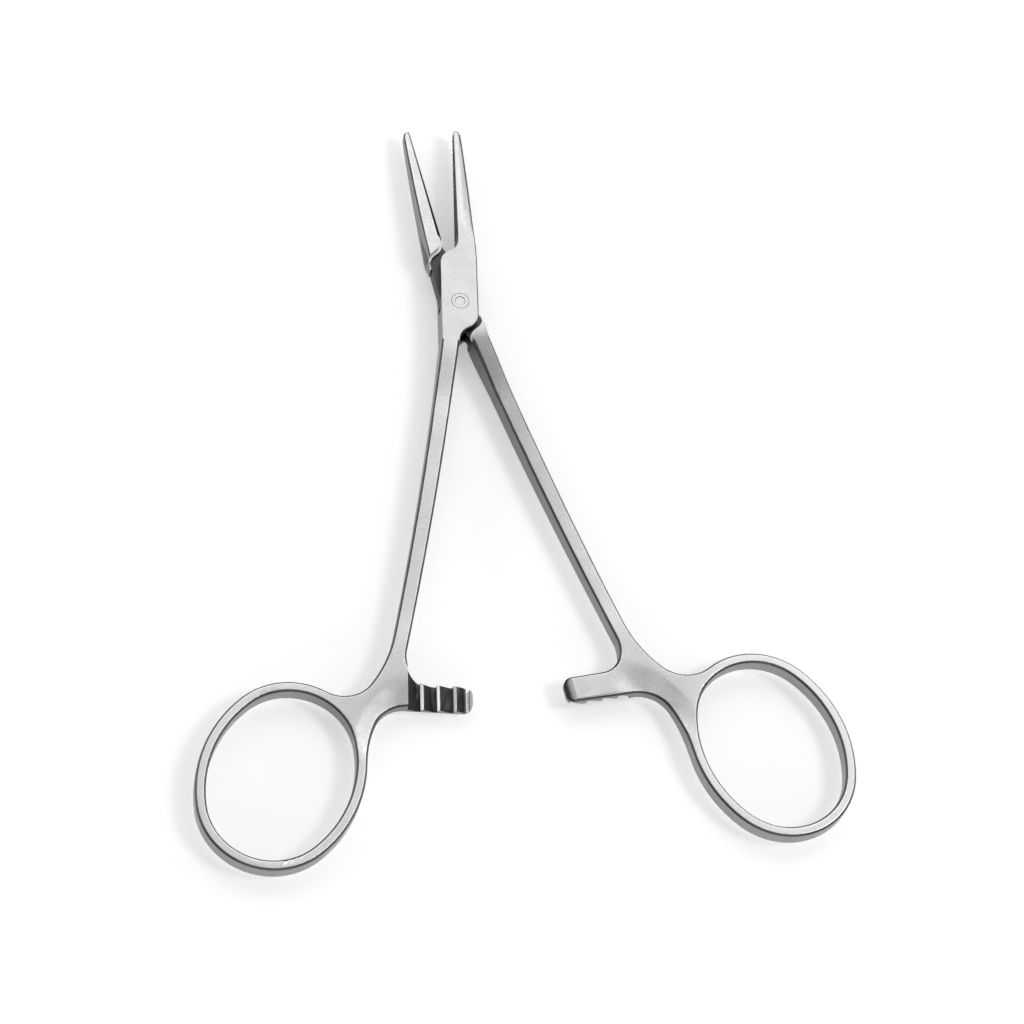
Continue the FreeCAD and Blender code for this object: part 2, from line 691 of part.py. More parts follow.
for thing in doc.Objects:
    if "Invalid" in thing.State or "Error" in thing.State:
        raise RuntimeError("%s did not build: %s" % (thing.Name, thing.State))
for body in (box_half, tongue_half, pivot_pin):
    if body.Shape.isNull() or not body.Shape.isValid() or len(body.Shape.Solids) != 1:
        raise RuntimeError("%s is not one sound solid" % body.Label)

os.makedirs("parts", exist_ok=True)
for body in (box_half, tongue_half, pivot_pin):
    body.Shape.exportStep("parts/%s.step" % body.Label)
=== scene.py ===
import json
import math

import bmesh
import bpy
import numpy as np
from mathutils import Matrix, Vector

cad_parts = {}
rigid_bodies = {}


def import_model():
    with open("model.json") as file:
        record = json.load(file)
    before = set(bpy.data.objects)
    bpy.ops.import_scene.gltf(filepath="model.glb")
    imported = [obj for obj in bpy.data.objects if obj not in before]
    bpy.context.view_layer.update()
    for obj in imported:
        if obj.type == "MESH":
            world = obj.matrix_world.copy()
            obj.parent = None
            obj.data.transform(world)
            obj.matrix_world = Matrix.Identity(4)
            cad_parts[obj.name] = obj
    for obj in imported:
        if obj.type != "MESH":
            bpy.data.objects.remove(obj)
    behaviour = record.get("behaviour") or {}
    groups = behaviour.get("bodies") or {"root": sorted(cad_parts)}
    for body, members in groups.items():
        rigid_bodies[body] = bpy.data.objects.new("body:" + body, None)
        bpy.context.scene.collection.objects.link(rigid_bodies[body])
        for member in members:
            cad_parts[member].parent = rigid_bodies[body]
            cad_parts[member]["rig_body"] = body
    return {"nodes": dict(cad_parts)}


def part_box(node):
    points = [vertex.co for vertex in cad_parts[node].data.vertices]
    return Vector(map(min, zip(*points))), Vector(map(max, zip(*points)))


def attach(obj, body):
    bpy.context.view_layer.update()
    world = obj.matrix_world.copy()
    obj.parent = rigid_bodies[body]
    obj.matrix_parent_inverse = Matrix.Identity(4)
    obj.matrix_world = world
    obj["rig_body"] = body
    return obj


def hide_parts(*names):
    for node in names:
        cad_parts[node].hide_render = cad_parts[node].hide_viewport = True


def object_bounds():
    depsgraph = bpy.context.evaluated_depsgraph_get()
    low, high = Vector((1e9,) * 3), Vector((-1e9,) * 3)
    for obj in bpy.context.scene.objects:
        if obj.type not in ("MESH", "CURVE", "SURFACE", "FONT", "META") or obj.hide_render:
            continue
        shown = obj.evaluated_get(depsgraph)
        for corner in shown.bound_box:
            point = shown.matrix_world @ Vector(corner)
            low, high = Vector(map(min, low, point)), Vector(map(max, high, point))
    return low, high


bl_info = {
    "name": "Artery forceps",
    "version": (1, 0, 0),
    "blender": (4, 5, 0),
    "location": "3D View > Sidebar > Forceps",
    "description": "Dresses the packed artery forceps in satin steel and sets up the studio",
    "category": "Object",
}

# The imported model: every length below is in metres, in the frame of its record.
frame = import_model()
cad_low, cad_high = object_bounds()
nodes = frame["nodes"]
body_of_node = {name: node["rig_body"] for name, node in nodes.items()}
lock_low, lock_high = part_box("pivot_pin")
LOCK_THICKNESS = lock_high.z - lock_low.z
MIDDLE_PLANE = (lock_low.z + lock_high.z) / 2

MILLIMETRE = 0.001

# Half of the floor's width.
FLOOR_REACH = 3.0
# Most of the noise lies between these values.
NOISE_LOW, NOISE_HIGH = 0.3, 0.7
# How far the hollow of the web is followed, in its reaches.
DISH_END = 1.5
# Share of the jaw's height from which the serrations run out, and where they have.
RUN_OUT, RUN_OUT_END = 0.5, 0.74


class ForcepsFinish(bpy.types.PropertyGroup):
    """Colours and finish of the steel, among them the painted shade and painted highlight colours."""

    steel: bpy.props.FloatVectorProperty(
        name="Steel",
        description="Colour of the ground flats",
        subtype="COLOR",
        size=3,
        default=(0.76, 0.76, 0.755),
        min=0.0,
        max=1.0,
    )
    # Painted highlight: this bright colour is painted on the slightly tilted rims of the rounded edges,
    # standing in for the glints along them.
    painted_edge_highlight: bpy.props.FloatVectorProperty(
        name="Polished edges",
        description="Colour of the rounded edges, which wear bright",
        subtype="COLOR",
        size=3,
        default=(0.95, 0.95, 0.945),
        min=0.0,
        max=1.0,
    )
    # Painted shade: this dark colour is painted on every face that turns sideways, standing in for the shade
    # and dark reflections on the walls.
    blasted: bpy.props.FloatVectorProperty(
        name="Blasted sides",
        description="Colour of the walls, which keep a duller skin than the flats",
        subtype="COLOR",
        size=3,
        default=(0.27, 0.27, 0.268),
        min=0.0,
        max=1.0,
    )
    # Painted shade: this near-black colour is painted into the serrated face, the ratchet's gaps and the
    # slot, standing in for the shade in these recesses.
    painted_groove_shade: bpy.props.FloatVectorProperty(
        name="Tarnished grooves",
        description="Colour deep in the grooves and gaps, where the brush never reaches",
        subtype="COLOR",
        size=3,
        default=(0.035, 0.035, 0.034),
        min=0.0,
        max=1.0,
    )
    roughness: bpy.props.FloatProperty(
        name="Roughness", description="Roughness of the satin skin", default=0.36, min=0.05, max=1.0
    )
    grain_size: bpy.props.FloatProperty(
        name="Grain size",
        description="Size of the blasted grain",
        default=0.22 * MILLIMETRE,
        min=0.01 * MILLIMETRE,
        unit="LENGTH",
    )
    grain_depth: bpy.props.FloatProperty(
        name="Grain depth",
        description="Depth of the blasted grain",
        default=0.006 * MILLIMETRE,
        min=0.0,
        unit="LENGTH",
    )


class ForcepsSizes(bpy.types.PropertyGroup):
    """Fine sizes that the solids leave out."""

    sharp_angle: bpy.props.FloatProperty(
        name="Sharp angle",
        description="Faces that meet at more than this meet at a sharp edge",
        subtype="ANGLE",
        default=math.radians(32),
        min=0.1,
        max=math.pi,
    )
    opening: bpy.props.FloatProperty(
        name="Opening",
        description="Turn of the tongue half from closed, as the forceps lie",
        subtype="ANGLE",
        default=math.radians(12.5),
    )
    dish_out: bpy.props.FloatProperty(
        name="Dish out",
        description="Closing line to the middle of the hollow in the web",
        default=11.6 * MILLIMETRE,
        unit="LENGTH",
    )
    dish_down: bpy.props.FloatProperty(
        name="Dish down",
        description="Pivot to the middle of the hollow in the web, along the closing line",
        default=66.8 * MILLIMETRE,
        unit="LENGTH",
    )
    dish_reach: bpy.props.FloatProperty(
        name="Dish reach",
        description="Distance across the hollow at which it has faded to a third",
        default=2.7 * MILLIMETRE,
        min=0.1 * MILLIMETRE,
        unit="LENGTH",
    )
    dish_length: bpy.props.FloatProperty(
        name="Dish length",
        description="Distance along the hollow at which it has faded to a third",
        default=5.0 * MILLIMETRE,
        min=0.1 * MILLIMETRE,
        unit="LENGTH",
    )
    dish_turn: bpy.props.FloatProperty(
        name="Dish turn",
        description="Long way of the hollow, out from the closing line",
        subtype="ANGLE",
        default=math.radians(34),
    )
    dish_depth: bpy.props.FloatProperty(
        name="Dish depth",
        description="Depth of the hollow, for a web as thick as the lock",
        default=0.95 * MILLIMETRE,
        min=0.0,
        unit="LENGTH",
    )
    jaw_root: bpy.props.FloatProperty(
        name="Jaw root",
        description="Pivot to the place where the jaw leaves the lock",
        default=10.6 * MILLIMETRE,
        unit="LENGTH",
    )
    jaw_length: bpy.props.FloatProperty(
        name="Jaw length",
        description="Length of the jaw in front of the lock",
        default=20.1 * MILLIMETRE,
        min=1.0 * MILLIMETRE,
        unit="LENGTH",
    )
    jaw_root_width: bpy.props.FloatProperty(
        name="Jaw root width",
        description="Width of the jaw where it leaves the lock",
        default=2.65 * MILLIMETRE,
        unit="LENGTH",
    )
    jaw_tip_width: bpy.props.FloatProperty(
        name="Jaw tip width",
        description="Width of the jaw near its tip",
        default=1.15 * MILLIMETRE,
        unit="LENGTH",
    )
    jaw_crown: bpy.props.FloatProperty(
        name="Jaw crown",
        description="Share of its height that the jaw loses at its outer edge",
        default=0.3,
        min=0.0,
        max=0.8,
    )
    jaw_root_height: bpy.props.FloatProperty(
        name="Jaw root height",
        description="Half of the jaw's thickness where it leaves the lock",
        default=2.14 * MILLIMETRE,
        unit="LENGTH",
    )
    jaw_taper: bpy.props.FloatProperty(
        name="Jaw taper", description="Loss of that height for each length along the jaw", default=0.064
    )
    face_lean: bpy.props.FloatProperty(
        name="Face lean",
        description="Width of the bevel beside the serrated face at the root of the jaw",
        default=0.55 * MILLIMETRE,
        min=0.0,
        unit="LENGTH",
    )
    jaw_clearance: bpy.props.FloatProperty(
        name="Jaw clearance",
        description="What each serrated face stays back, so that the closed jaws only just meet",
        default=0.05 * MILLIMETRE,
        min=0.0,
        unit="LENGTH",
    )
    arm_down: bpy.props.FloatProperty(
        name="Arm down",
        description="Pivot to the middle of the ratchet arm",
        default=62.9 * MILLIMETRE,
        unit="LENGTH",
    )
    arm_root: bpy.props.FloatProperty(
        name="Arm root",
        description="Closing line to the step at the root of the ratchet arm",
        default=8.25 * MILLIMETRE,
        unit="LENGTH",
    )


class StudioSetup(bpy.types.PropertyGroup):
    """Camera, floor and light."""

    azimuth: bpy.props.FloatProperty(
        name="Azimuth", description="Camera round the object", subtype="ANGLE", default=math.radians(-18.89)
    )
    elevation: bpy.props.FloatProperty(
        name="Elevation", description="Camera above the floor", subtype="ANGLE", default=math.radians(60.085)
    )
    heading: bpy.props.FloatProperty(
        name="Heading",
        description="Turn of the image's upright from the jaws' line",
        subtype="ANGLE",
        default=math.radians(-1.943),
    )
    distance: bpy.props.FloatProperty(
        name="Distance", description="Camera to the lock", unit="LENGTH", default=0.52288
    )
    lens: bpy.props.FloatProperty(name="Lens", description="Focal length in millimetres", default=126.5625)
    lock_right: bpy.props.FloatProperty(
        name="Lock to the right", description="Lock from the middle of the image, as a share of its width",
        default=-0.05050
    )
    lock_up: bpy.props.FloatProperty(
        name="Lock up", description="Lock from the middle of the image, as a share of its width",
        default=0.20633
    )
    floor: bpy.props.FloatVectorProperty(
        name="Floor", description="Colour of the floor", subtype="COLOR", size=3, default=(0.90, 0.90, 0.90)
    )
    floor_lift: bpy.props.FloatProperty(
        name="Floor lift", description="What lifts the lit floor to white where it is seen", default=0.37
    )
    sky: bpy.props.FloatProperty(name="Sky", description="Brightness of the room all round", default=0.38)


def link(material, out_socket, in_socket):
    material.node_tree.links.new(out_socket, in_socket)


def noise_between(material, noise, low, high):
    """Spreads a noise texture over the values from low to high."""
    spread = material.node_tree.nodes.new("ShaderNodeMapRange")
    spread.inputs["From Min"].default_value = NOISE_LOW
    spread.inputs["From Max"].default_value = NOISE_HIGH
    spread.inputs["To Min"].default_value = low
    spread.inputs["To Max"].default_value = high
    link(material, noise.outputs["Fac"], spread.inputs["Value"])
    return spread.outputs["Result"]


def toward(material, attribute, base, colour):
    """Mixes towards a colour as far as the mesh's attribute says; base is a colour or a socket."""
    nodes_of = material.node_tree.nodes
    amount = nodes_of.new("ShaderNodeAttribute")
    amount.attribute_name = attribute
    mix = nodes_of.new("ShaderNodeMix")
    mix.data_type = "RGBA"
    mix.inputs["B"].default_value = (*colour, 1.0)
    link(material, amount.outputs["Fac"], mix.inputs["Factor"])
    if isinstance(base, bpy.types.NodeSocket):
        link(material, base, mix.inputs["A"])
    else:
        mix.inputs["A"].default_value = (*base, 1.0)
    return mix.outputs["Result"]


def satin_steel(name, finish):
    """Blasted stainless steel: a fine grain, soft clouds of sheen, painted shade on the walls and painted
    highlights on the edges.
    """
    material = bpy.data.materials.new(name)
    material.use_nodes = True
    tree = material.node_tree
    tree.nodes.clear()
    out = tree.nodes.new("ShaderNodeOutputMaterial")
    shader = tree.nodes.new("ShaderNodeBsdfPrincipled")
    link(material, shader.outputs["BSDF"], out.inputs["Surface"])
    shader.inputs["Metallic"].default_value = 1.0

    place = tree.nodes.new("ShaderNodeTexCoord")
    grain = tree.nodes.new("ShaderNodeTexNoise")
    grain.inputs["Scale"].default_value = 1.0 / finish.grain_size
    grain.inputs["Detail"].default_value = 3.0
    grain.inputs["Roughness"].default_value = 0.6
    link(material, place.outputs["Object"], grain.inputs["Vector"])
    clouds = tree.nodes.new("ShaderNodeTexNoise")
    clouds.inputs["Scale"].default_value = 0.08 / finish.grain_size
    clouds.inputs["Detail"].default_value = 4.0
    link(material, place.outputs["Object"], clouds.inputs["Vector"])

    # Roughness = the skin's own, a little more or less where the clouds say.
    uneven = noise_between(material, clouds, finish.roughness - 0.05, finish.roughness + 0.05)
    link(material, uneven, shader.inputs["Roughness"])

    # Painted light: the tone follows how level the surface lies, with painted shade on the walls, darker
    # painted shade on the rounded shoulders, a painted highlight on the rims and the steel's own colour on
    # the flats.
    split = tree.nodes.new("ShaderNodeSeparateXYZ")
    level = tree.nodes.new("ShaderNodeMath")
    level.operation = "ABSOLUTE"
    link(material, place.outputs["Normal"], split.inputs["Vector"])
    link(material, split.outputs["Z"], level.inputs[0])
    tone = tree.nodes.new("ShaderNodeValToRGB")
    stops = tone.color_ramp.elements
    stops[0].position, stops[0].color = 0.0, (*finish.blasted, 1.0)
    stops[1].position, stops[1].color = 0.997, (*finish.steel, 1.0)
    painted_shoulder_shade = [0.35 * part for part in finish.blasted]
    for position, colour in (
        (0.3, finish.blasted),
        (0.5, painted_shoulder_shade),
        (0.93, painted_shoulder_shade),
        (0.97, finish.painted_edge_highlight),
        (0.985, finish.painted_edge_highlight),
    ):
        stops.new(position).color = (*colour, 1.0)
    link(material, level.outputs["Value"], tone.inputs["Fac"])

    # Painted highlight: the rings, away from the web's hollow, are brightened towards the edge highlight
    # colour.
    ring_sheen_gain = [bright / plain for bright, plain in zip(finish.painted_edge_highlight, finish.steel)]
    ring_sheen_lifted = tree.nodes.new("ShaderNodeVectorMath")
    ring_sheen_lifted.operation = "MULTIPLY"
    link(material, tone.outputs["Color"], ring_sheen_lifted.inputs[0])
    link(material, toward(material, "painted_ring_sheen", (1.0, 1.0, 1.0), ring_sheen_gain), ring_sheen_lifted.inputs[1])
    # Painted shade on the tongue's shank near the lock, as far as its attribute says.
    painted_shank_shade_tone = [0.45 * part for part in finish.blasted]
    shank_shaded = toward(material, "skin", ring_sheen_lifted.outputs["Vector"], painted_shank_shade_tone)
    # Painted shade in the serrated face, the ratchet's gaps and the slot.
    groove_shaded = toward(material, "groove", shank_shaded, finish.painted_groove_shade)
    speckled = tree.nodes.new("ShaderNodeVectorMath")
    speckled.operation = "SCALE"
    link(material, groove_shaded, speckled.inputs[0])
    link(material, noise_between(material, grain, 0.82, 1.08), speckled.inputs["Scale"])
    link(material, speckled.outputs["Vector"], shader.inputs["Base Color"])

    bump = tree.nodes.new("ShaderNodeBump")
    bump.inputs["Strength"].default_value = 1.0
    bump.inputs["Distance"].default_value = finish.grain_depth
    link(material, grain.outputs["Fac"], bump.inputs["Height"])
    link(material, bump.outputs["Normal"], shader.inputs["Normal"])
    return material


def smooth(low, high, value):
    """0 below low, 1 above high, and the cubic 3t^2 - 2t^3 between them."""
    t = np.clip((value - low) / (high - low), 0, 1)
    return t * t * (3 - 2 * t)


def half_turn(half):
    """Turns the record's frame into a half's own: u out to its ring, v along its jaw, z up."""
    if half == "box":
        return np.diag([-1.0, 1.0, 1.0])
    turn = bpy.context.scene.forceps_sizes.opening
    cosine, sine = math.cos(turn), math.sin(turn)
    return np.array([[cosine, sine, 0], [-sine, cosine, 0], [0, 0, 1]])


def dish_way(sizes):
    """The long way of the hollow in the web, as u and v."""
    return math.sin(sizes.dish_turn), -math.cos(sizes.dish_turn)


def cut_lines(sizes):
    """Cuts that let the forging bend, each a place and the way across it.

    They are a net over the web, lines down and across the jaw, and lines along its serrated face.
    Each set comes with the v that it starts and ends at, and the least level that its faces lie.
    """
    along_u, along_v = dish_way(sizes)
    net = []
    for step in np.linspace(-DISH_END, DISH_END, 14):
        far, near = step * sizes.dish_length, step * sizes.dish_reach
        spot = (sizes.dish_out + along_u * far, along_v * far - sizes.dish_down, 0.0)
        net.append((spot, (along_u, along_v, 0.0)))
        spot = (sizes.dish_out - along_v * near, along_u * near - sizes.dish_down, 0.0)
        net.append((spot, (-along_v, along_u, 0.0)))
    jaw = []
    for share in (0.3, 0.45, 0.6, 0.75, 0.88):
        root, tip = share * sizes.jaw_root_width, share * sizes.jaw_tip_width
        jaw.append(((-root, sizes.jaw_root, 0.0), (sizes.jaw_length, tip - root, 0.0)))
    for step in np.linspace(0.05, 0.95, 8):
        jaw.append(((0.0, sizes.jaw_root + step * sizes.jaw_length, 0.0), (0.0, 1.0, 0.0)))
    face = []
    for share in (-0.75, -0.5, 0.5, 0.75):
        height = share * sizes.jaw_root_height
        spot = (0.0, sizes.jaw_root, MIDDLE_PLANE + height)
        face.append((spot, (0.0, share * sizes.jaw_taper, 1.0)))
    web_top = DISH_END * sizes.dish_length - sizes.dish_down
    return (
        (net, cad_low.y, web_top, 0.99),
        (jaw, sizes.jaw_root, cad_high.y, 0.99),
        (face, sizes.jaw_root, cad_high.y, 0.0),
    )


def forged_copy(node_name, piece_name, half, sizes):
    """A copy of a CAD node's mesh with its loose triangles joined and its flats scored to be bent."""
    mesh = nodes[node_name].data.copy()
    mesh.name = piece_name
    form = bmesh.new()
    form.from_mesh(mesh)
    bmesh.ops.remove_doubles(form, verts=form.verts, dist=0.0005 * MILLIMETRE)
    level = [face for face in form.faces if abs(face.normal.z) > 0.99999]
    bmesh.ops.dissolve_limit(
        form,
        angle_limit=math.radians(0.05),
        use_dissolve_boundaries=False,
        verts=[],
        edges=list(dict.fromkeys(edge for face in level for edge in face.edges)),
    )
    turn = half_turn(half)
    for lines, low, high, least_level in cut_lines(sizes):
        chosen = []
        for face in form.faces:
            v = [turn[1] @ np.array(corner.co) for corner in face.verts]
            if abs(face.normal.z) >= least_level and max(v) > low and min(v) < high:
                chosen.append(face)
        # A dict keeps their order, so that every run cuts alike.
        geometry = dict.fromkeys(chosen)
        for face in chosen:
            geometry.update(dict.fromkeys(face.edges))
            geometry.update(dict.fromkeys(face.verts))
        geometry = list(geometry)
        for spot, way in lines:
            spot, way = turn.T @ np.array(spot), turn.T @ np.array(way)
            cut = bmesh.ops.bisect_plane(
                form, geom=geometry, dist=1e-7, plane_co=spot.tolist(), plane_no=way.tolist()
            )
            geometry = cut["geom"]
    form.to_mesh(mesh)
    form.free()
    piece = bpy.data.objects.new(piece_name, mesh)
    bpy.context.scene.collection.objects.link(piece)
    return piece


def read_points(mesh):
    """The mesh's points as rows."""
    points = np.empty(len(mesh.vertices) * 3)
    mesh.vertices.foreach_get("co", points)
    return points.reshape(-1, 3)


def bend_flats(mesh, half, sizes):
    """Brings the upper and lower faces nearer the middle plane, by a share of their height.

    On the web the share is a long bell e^-(far^2 + near^2) beside its hollow edge. On the jaw it
    grows as a smooth step from the inner edge to the outer one, and from the lock forwards. The
    serrations run out below the edges of their face, whose edge at the closing side is bevelled.
    """
    points = read_points(mesh)
    own = points @ half_turn(half).T
    u, v, height = own[:, 0], own[:, 1], own[:, 2] - MIDDLE_PLANE

    along_u, along_v = dish_way(sizes)
    far = ((u - sizes.dish_out) * along_u + (v + sizes.dish_down) * along_v) / sizes.dish_length
    near = ((v + sizes.dish_down) * along_u - (u - sizes.dish_out) * along_v) / sizes.dish_reach
    away = np.hypot(far, near)
    deepest = 2 * sizes.dish_depth / LOCK_THICKNESS
    dish = deepest * np.exp(-(away**2)) * smooth(-DISH_END, -1.0, -away)

    along = np.clip((v - sizes.jaw_root) / sizes.jaw_length, 0, 1)
    width = sizes.jaw_root_width + (sizes.jaw_tip_width - sizes.jaw_root_width) * along
    outer = sizes.jaw_crown if half == "box" else 0.3 * sizes.jaw_crown
    side = outer * smooth(0.05, 1.25, -u / width) * smooth(0.0, 0.25, along)
    side[v < sizes.jaw_root] = 0.0

    over = height if half == "tongue" else -height
    toothed = (v > sizes.jaw_root) & (u > -0.32 * MILLIMETRE)
    half_height = sizes.jaw_root_height - sizes.jaw_taper * (v - sizes.jaw_root)
    edge = smooth(RUN_OUT, RUN_OUT_END, np.abs(height) / half_height)
    back = sizes.face_lean * (1 - 0.6 * along) * np.clip((over / half_height - 0.75) / 0.25, 0, 1)
    filled = np.where(toothed, u * (1 - edge) - back - sizes.jaw_clearance, u)

    own = np.stack([filled, v, points[:, 2]], axis=1)
    points[:] = own @ half_turn(half)
    points[:, 2] = MIDDLE_PLANE + (points[:, 2] - MIDDLE_PLANE) * (1 - dish - side)
    mesh.vertices.foreach_set("co", points.ravel())
    mesh.update()


def settle(mesh, sizes):
    """Drops the slivers that the bending leaves, marks the sharp edges and smooths the rest."""
    form = bmesh.new()
    form.from_mesh(mesh)
    bmesh.ops.dissolve_degenerate(form, dist=0.002 * MILLIMETRE, edges=form.edges)
    bmesh.ops.recalc_face_normals(form, faces=form.faces)
    for edge in form.edges:
        edge.smooth = edge.calc_face_angle(0.0) < sizes.sharp_angle
    form.to_mesh(mesh)
    form.free()
    if "custom_normal" in mesh.attributes:
        mesh.attributes.remove(mesh.attributes["custom_normal"])
    mesh.shade_smooth()


def write_layer(mesh, name, domain, values):
    mesh.attributes.new(name, "FLOAT", domain).data.foreach_set("value", values)


def mark_painted_groove_shade(mesh, half, sizes):
    """Writes where painted shade darkens the steel in its recesses: the serrated face, the gaps of the
    ratchet, the slot.
    """
    faces = len(mesh.polygons)
    centre, normal = np.empty(faces * 3), np.empty(faces * 3)
    mesh.polygons.foreach_get("center", centre)
    mesh.polygons.foreach_get("normal", normal)
    turn = half_turn(half)
    u, v, z = (centre.reshape(-1, 3) @ turn.T).T
    facing = normal.reshape(-1, 3) @ turn.T
    outward, forward, level = facing[:, 0], np.abs(facing[:, 1]), np.abs(facing[:, 2])
    # The teeth of the ratchet rise from the middle plane: up on one half and down on the other.
    rise = z - MIDDLE_PLANE if half == "tongue" else MIDDLE_PLANE - z
    off_arm = np.abs(v + sizes.arm_down)
    arm_end = 0.5 * MILLIMETRE

    serrated = (v > sizes.jaw_root) & (u > -0.6 * MILLIMETRE) & (outward > 0.3)
    arm = (off_arm < 2.6 * MILLIMETRE) & (u < sizes.arm_root)
    lands = arm & (np.abs(rise) < 0.09 * MILLIMETRE) & (level > 0.999)
    gaps = arm & ~lands & (rise > -0.05 * MILLIMETRE) & (rise < 0.8 * MILLIMETRE) & (forward < 0.6)
    gaps &= u > arm_end
    tip = arm & (u < arm_end) & (level < 0.99)
    step = (np.abs(u - sizes.arm_root) < 0.9 * MILLIMETRE) & (outward < -0.2)
    step &= (off_arm < 3.5 * MILLIMETRE) & (rise > -1.25 * MILLIMETRE)
    inside = (v > -6.5 * MILLIMETRE) & (v < sizes.jaw_root) & (np.abs(u) < 2.6 * MILLIMETRE)
    slot = inside & (np.abs(z - MIDDLE_PLANE) < 1.45 * MILLIMETRE)

    # Painted shade: each face's share of the near-black colour; the arm's tip and the nearer lands get less.
    mark = np.zeros(faces)
    mark[slot] = 0.93
    mark[gaps | step] = 0.9
    mark[tip] = 0.4
    mark[lands & (u < 3 * MILLIMETRE)] = 0.45
    mark[serrated] = 0.9
    write_layer(mesh, "groove", "FACE", mark)


def mark_painted_shade_and_sheen(mesh, half, sizes):
    """Writes where the shank gets painted shade, and where the ring gets a painted highlight.

    The painted shade is only on the tongue half, darkest at the lock, and clears towards the web.
    """
    own = read_points(mesh) @ half_turn(half).T
    u, down = own[:, 0], -own[:, 1]
    skin = np.zeros(len(own))
    # Painted shade on the tongue's shank: strongest just below the lock, fading out down the shank.
    if half == "tongue":
        skin = 0.65 * smooth(4 * MILLIMETRE, 7 * MILLIMETRE, down)
        skin *= 1 - smooth(0.0, 48 * MILLIMETRE, down)
    write_layer(mesh, "skin", "POINT", skin)
    # Painted highlight: the rings are brightened away from the hollow of the web.
    away = np.hypot(u - sizes.dish_out, sizes.arm_down - down)
    handle = down > sizes.arm_down / 1.2
    write_layer(mesh, "painted_ring_sheen", "POINT", smooth(5 * MILLIMETRE, 14 * MILLIMETRE, away) * handle)


def keep_flats(piece):
    """Lets the flats keep their own normals beside the rounded edges."""
    weighted = piece.modifiers.new("flat_normals", "WEIGHTED_NORMAL")
    weighted.keep_sharp = True
    weighted.weight = 50


def dress(piece_name, node_name, half, material):
    """Replaces a CAD node by its bent and finished copy."""
    sizes = bpy.context.scene.forceps_sizes
    piece = forged_copy(node_name, piece_name, half, sizes)
    bend_flats(piece.data, half, sizes)
    settle(piece.data, sizes)
    mark_painted_groove_shade(piece.data, half, sizes)
    mark_painted_shade_and_sheen(piece.data, half, sizes)
    keep_flats(piece)
    piece.data.materials.clear()
    piece.data.materials.append(material)
    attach(piece, body_of_node[node_name])
    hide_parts(node_name)
    return piece


class FORCEPS_OT_halves(bpy.types.Operator):
    """Make the two halves of the forceps"""

    bl_idname = "forceps.halves"
    bl_label = "Halves"

    def execute(self, context):
        material = satin_steel("satin_steel", context.scene.forceps_finish)
        dress("box_arm_steel", "box_half", "box", material)
        dress("tongue_arm_steel", "tongue_half", "tongue", material)
        return {"FINISHED"}


class FORCEPS_OT_rivet(bpy.types.Operator):
    """Give the flush rivet of the lock its steel"""

    bl_idname = "forceps.rivet"
    bl_label = "Rivet"

    def execute(self, context):
        material = satin_steel("rivet_steel", context.scene.forceps_finish)
        nodes["pivot_pin"].data.materials.clear()
        nodes["pivot_pin"].data.materials.append(material)
        return {"FINISHED"}


def grid_plane(name, centre, half_width, half_depth):
    """A level sheet: points centre + (u, v, 0) over a two by two grid of u and v."""
    u, v = np.meshgrid([-half_width, half_width], [-half_depth, half_depth])
    points = np.stack([centre.x + u, centre.y + v, np.full(u.shape, centre.z)], axis=-1).reshape(-1, 3)
    mesh = bpy.data.meshes.new(name)
    mesh.from_pydata(points.tolist(), [], [(0, 1, 3, 2)])
    sheet = bpy.data.objects.new(name, mesh)
    bpy.context.scene.collection.objects.link(sheet)
    return sheet


def direction(azimuth, elevation):
    """The way from the object to this side; azimuth 0 is -Y and 90 degrees is +X."""
    level = math.cos(elevation)
    return Vector((math.sin(azimuth) * level, -math.cos(azimuth) * level, math.sin(elevation)))


def area_light(name, target, azimuth, elevation, distance, width, height, brightness):
    """A soft box that looks at the target from this side; brightness 1 looks white in a mirror."""
    lamp = bpy.data.lights.new(name, "AREA")
    lamp.shape = "RECTANGLE"
    lamp.size, lamp.size_y = width, height
    lamp.energy = brightness * math.pi * width * height
    box = bpy.data.objects.new(name, lamp)
    way = direction(azimuth, elevation)
    box.location = target + way * distance
    box.rotation_mode = "QUATERNION"
    box.rotation_quaternion = (-way).to_track_quat("-Z", "Y")
    bpy.context.scene.collection.objects.link(box)
    return box


def floor_paper(studio):
    """Matt white paper that takes the shadow; seen straight or in the steel it is lifted to white.

    The lift works on camera, glossy and transmission rays alone, so it lights nothing.
    """
    material = bpy.data.materials.new("floor_paper")
    material.use_nodes = True
    tree = material.node_tree
    tree.nodes.clear()
    out = tree.nodes.new("ShaderNodeOutputMaterial")
    paper = tree.nodes.new("ShaderNodeBsdfDiffuse")
    paper.inputs["Color"].default_value = (*studio.floor, 1.0)
    glow = tree.nodes.new("ShaderNodeEmission")
    both = tree.nodes.new("ShaderNodeAddShader")
    ray = tree.nodes.new("ShaderNodeLightPath")
    seen = tree.nodes.new("ShaderNodeMath")
    seen.operation = "MAXIMUM"
    through = tree.nodes.new("ShaderNodeMath")
    through.operation = "MAXIMUM"
    lift = tree.nodes.new("ShaderNodeMath")
    lift.operation = "MULTIPLY"
    lift.inputs[1].default_value = studio.floor_lift
    link(material, ray.outputs["Is Camera Ray"], seen.inputs[0])
    link(material, ray.outputs["Is Glossy Ray"], seen.inputs[1])
    link(material, seen.outputs["Value"], through.inputs[0])
    link(material, ray.outputs["Is Transmission Ray"], through.inputs[1])
    link(material, through.outputs["Value"], lift.inputs[0])
    link(material, lift.outputs["Value"], glow.inputs["Strength"])
    link(material, paper.outputs["BSDF"], both.inputs[0])
    link(material, glow.outputs["Emission"], both.inputs[1])
    link(material, both.outputs["Shader"], out.inputs["Surface"])
    return material


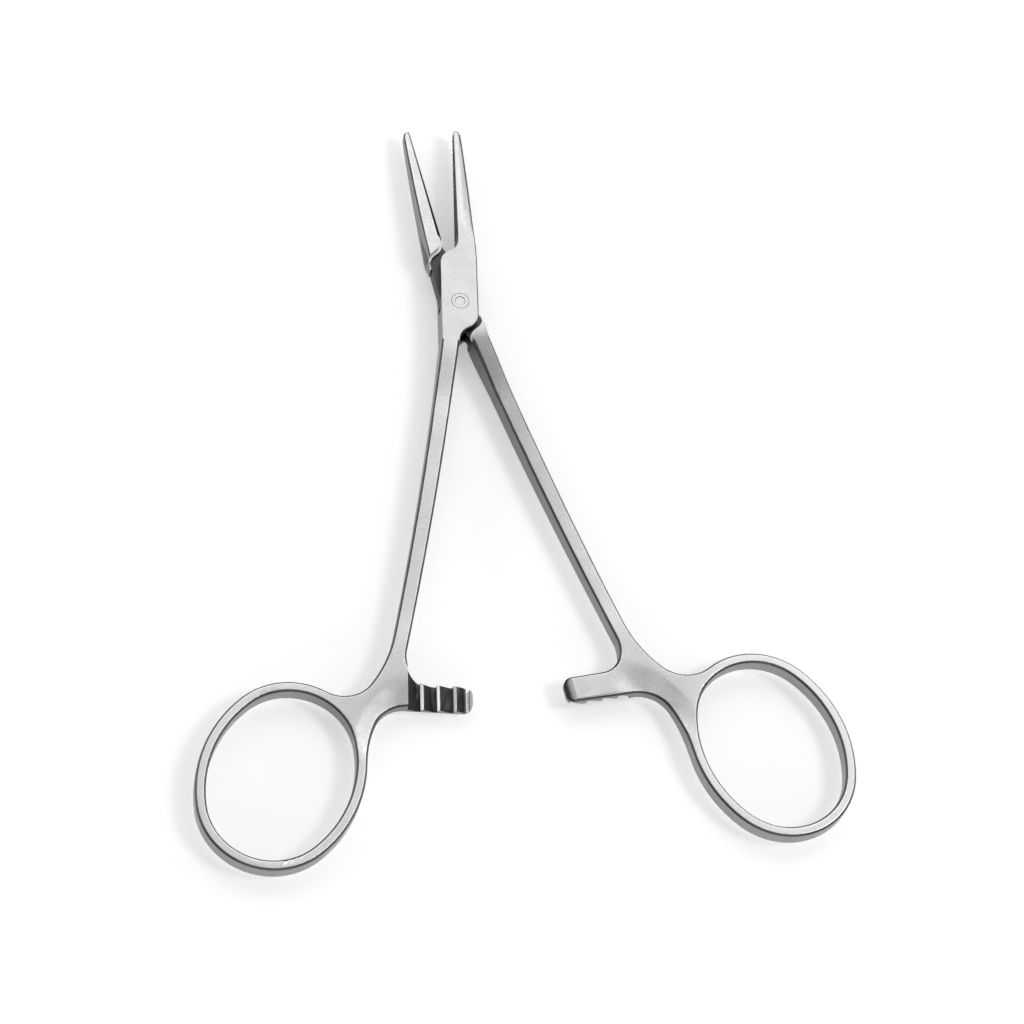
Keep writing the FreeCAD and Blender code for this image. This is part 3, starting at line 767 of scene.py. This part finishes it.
class FORCEPS_OT_stage(bpy.types.Operator):
    """Set up the floor, the light and the camera"""

    bl_idname = "forceps.stage"
    bl_label = "Stage"

    def execute(self, context):
        scene = context.scene
        studio = scene.forceps_studio
        middle = (cad_low + cad_high) / 2
        floor = grid_plane("floor", Vector((middle.x, middle.y, cad_low.z)), FLOOR_REACH, FLOOR_REACH)
        floor.data.materials.append(floor_paper(studio))

        world = bpy.data.worlds.new("studio")
        world.use_nodes = True
        scene.world = world
        world.node_tree.nodes["Background"].inputs["Color"].default_value = (1, 1, 1, 1)
        world.node_tree.nodes["Background"].inputs["Strength"].default_value = studio.sky

        lock = Vector((0.0, 0.0, LOCK_THICKNESS))
        area_light("flat_box", middle, math.radians(166), math.radians(50), 0.8, 1.0, 0.42, 0.95)
        area_light("key_box", middle, math.radians(78), math.radians(50), 0.9, 0.22, 0.22, 11.0)
        for name, azimuth in (("left_strip", 245), ("right_strip", 118), ("front_strip", 0)):
            area_light(name, middle, math.radians(azimuth), math.radians(15), 0.8, 0.9, 0.13, 3.0)

        back = direction(studio.azimuth, studio.elevation)
        upright = Vector((-math.sin(studio.heading), math.cos(studio.heading), 0.0))
        right = upright.cross(back).normalized()
        up = back.cross(right)
        lens = bpy.data.cameras.new("photo_lens")
        lens.lens = studio.lens
        lens.sensor_width = 36.0
        lens.clip_start, lens.clip_end = 0.01, 10.0
        camera = bpy.data.objects.new("photo_camera", lens)
        scene.collection.objects.link(camera)
        across = studio.distance * lens.sensor_width / lens.lens
        place = lock - right * (studio.lock_right * across) - up * (studio.lock_up * across)
        place += back * studio.distance
        turn = Matrix((right, up, back)).transposed().to_4x4()
        camera.matrix_world = Matrix.Translation(place) @ turn
        scene.camera = camera
        scene.view_settings.view_transform = "Standard"
        return {"FINISHED"}


class FORCEPS_PT_panel(bpy.types.Panel):
    """Sizes, finish and studio of the forceps"""

    bl_idname = "FORCEPS_PT_panel"
    bl_label = "Artery forceps"
    bl_space_type = "VIEW_3D"
    bl_region_type = "UI"
    bl_category = "Forceps"

    def draw(self, context):
        layout = self.layout
        scene = context.scene
        for group in (scene.forceps_sizes, scene.forceps_finish, scene.forceps_studio):
            for name in group.bl_rna.properties.keys():
                if name not in ("name", "rna_type"):
                    layout.prop(group, name)
        for operator in OPERATORS:
            layout.operator(operator.bl_idname)


GROUPS = (ForcepsFinish, ForcepsSizes, StudioSetup)
OPERATORS = (FORCEPS_OT_halves, FORCEPS_OT_rivet, FORCEPS_OT_stage)


def register():
    for kind in (*GROUPS, *OPERATORS, FORCEPS_PT_panel):
        bpy.utils.register_class(kind)
    bpy.types.Scene.forceps_finish = bpy.props.PointerProperty(type=ForcepsFinish)
    bpy.types.Scene.forceps_sizes = bpy.props.PointerProperty(type=ForcepsSizes)
    bpy.types.Scene.forceps_studio = bpy.props.PointerProperty(type=StudioSetup)


def unregister():
    del bpy.types.Scene.forceps_studio
    del bpy.types.Scene.forceps_sizes
    del bpy.types.Scene.forceps_finish
    for kind in reversed((*GROUPS, *OPERATORS, FORCEPS_PT_panel)):
        bpy.utils.unregister_class(kind)


def main():
    register()
    bpy.ops.forceps.halves()
    bpy.ops.forceps.rivet()
    bpy.ops.forceps.stage()


if __name__ == "__main__":
    main()
